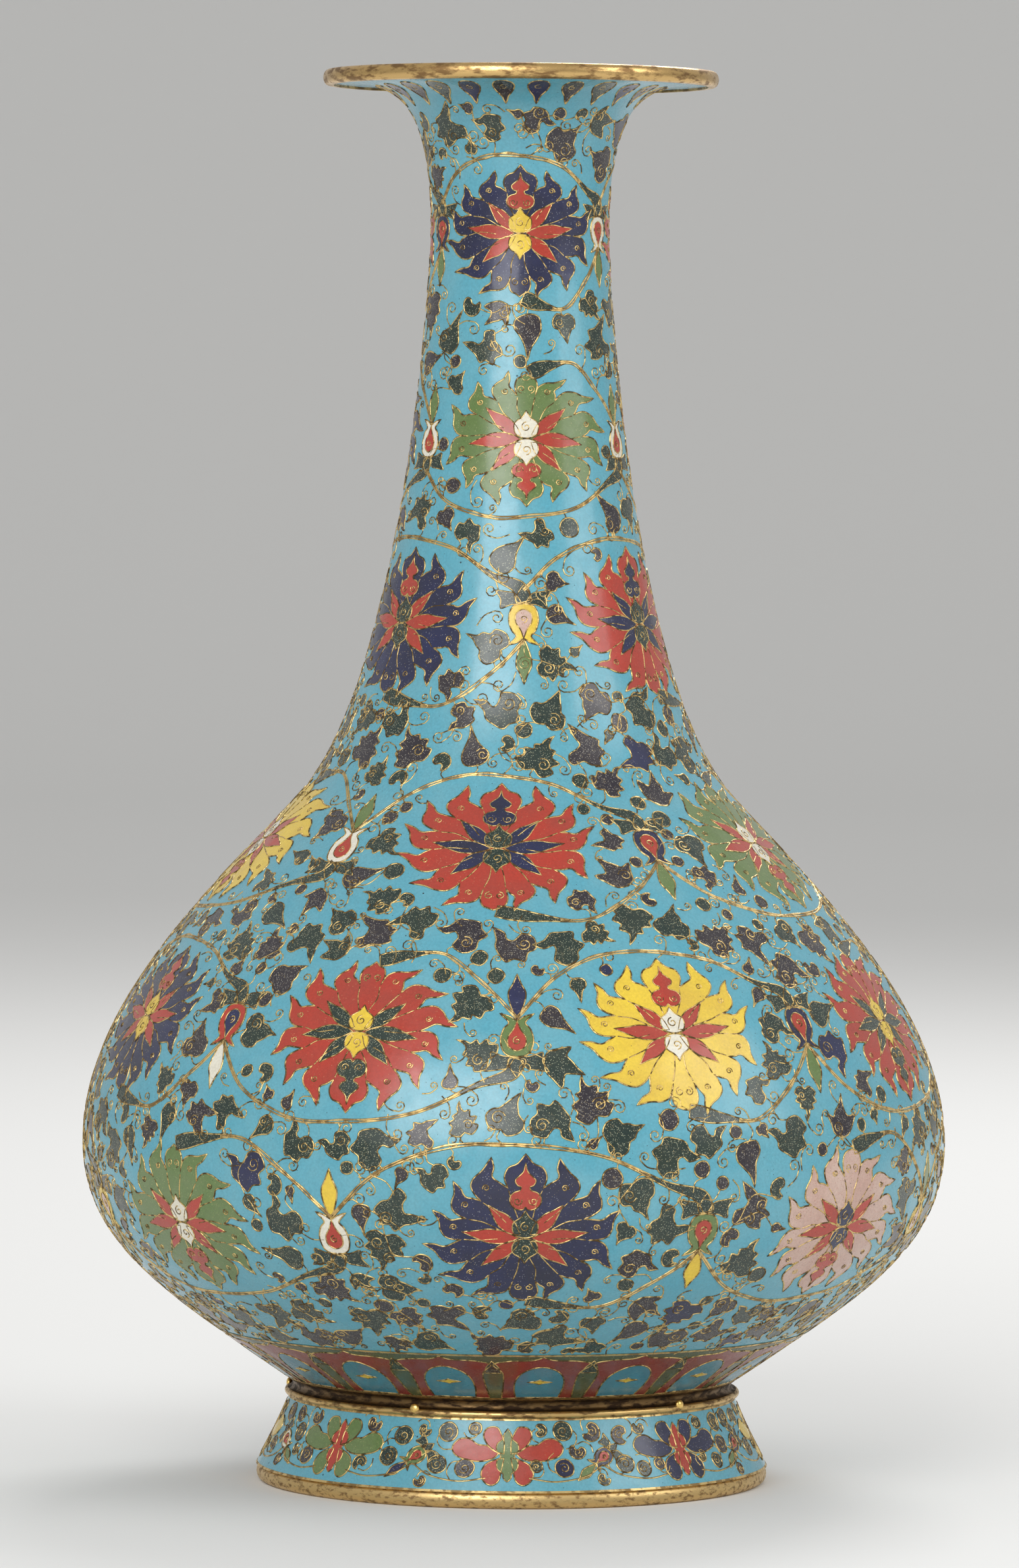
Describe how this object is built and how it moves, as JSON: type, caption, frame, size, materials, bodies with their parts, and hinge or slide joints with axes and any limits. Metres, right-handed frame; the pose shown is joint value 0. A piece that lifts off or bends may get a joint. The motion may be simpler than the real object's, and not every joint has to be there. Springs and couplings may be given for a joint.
{
  "type": "cloisonne bottle vase",
  "caption": "Tall bottle vase with a slender neck, flared mouth, round low belly and splayed foot, in enamelled copper with gilt mounts.",
  "frame": {"origin": "centre of the flat face that the foot stands on", "axes": "+Z is the vase's axis, from the foot up to the mouth; -Y is the side with the main row of flowers"},
  "size_m": [0.3364, 0.3364, 0.5499],
  "materials": {
    "gilt_bronze": "fire-gilt copper alloy, worn to brown in the hollows",
    "raised_copper": "hammered copper, dull brown inside",
    "brazing_metal": "brazing alloy, matt",
    "cloison_wire": "gilt copper wire, mostly worn to dark brown",
    "turquoise_enamel": "polished enamel with fine pits",
    "navy_enamel": "polished enamel with pale specks",
    "green_enamel": "polished enamel with pale specks",
    "red_enamel": "polished enamel",
    "yellow_enamel": "polished enamel",
    "white_enamel": "polished enamel"
  },
  "bodies": {
    "root": {"mouth_rim": "gilt_bronze", "foot_collar": "gilt_bronze", "collar_pins": "gilt_bronze", "foot_rim": "gilt_bronze", "neck_core": "raised_copper", "shoulder_core": "raised_copper", "bowl_core": "raised_copper", "foot_core": "raised_copper", "base_plate": "raised_copper", "neck_braze": "brazing_metal", "belly_braze": "brazing_metal", "foot_braze": "brazing_metal", "seat_wire": "cloison_wire", "lappet_wire": "cloison_wire", "foot_top_wire": "cloison_wire", "foot_base_wire": "cloison_wire", "lip_enamel": "turquoise_enamel", "neck_enamel": "turquoise_enamel", "shoulder_enamel": "turquoise_enamel", "belly_enamel": "turquoise_enamel", "lappet_enamel": "green_enamel", "foot_enamel": "turquoise_enamel"}
  },
  "joints": []
}
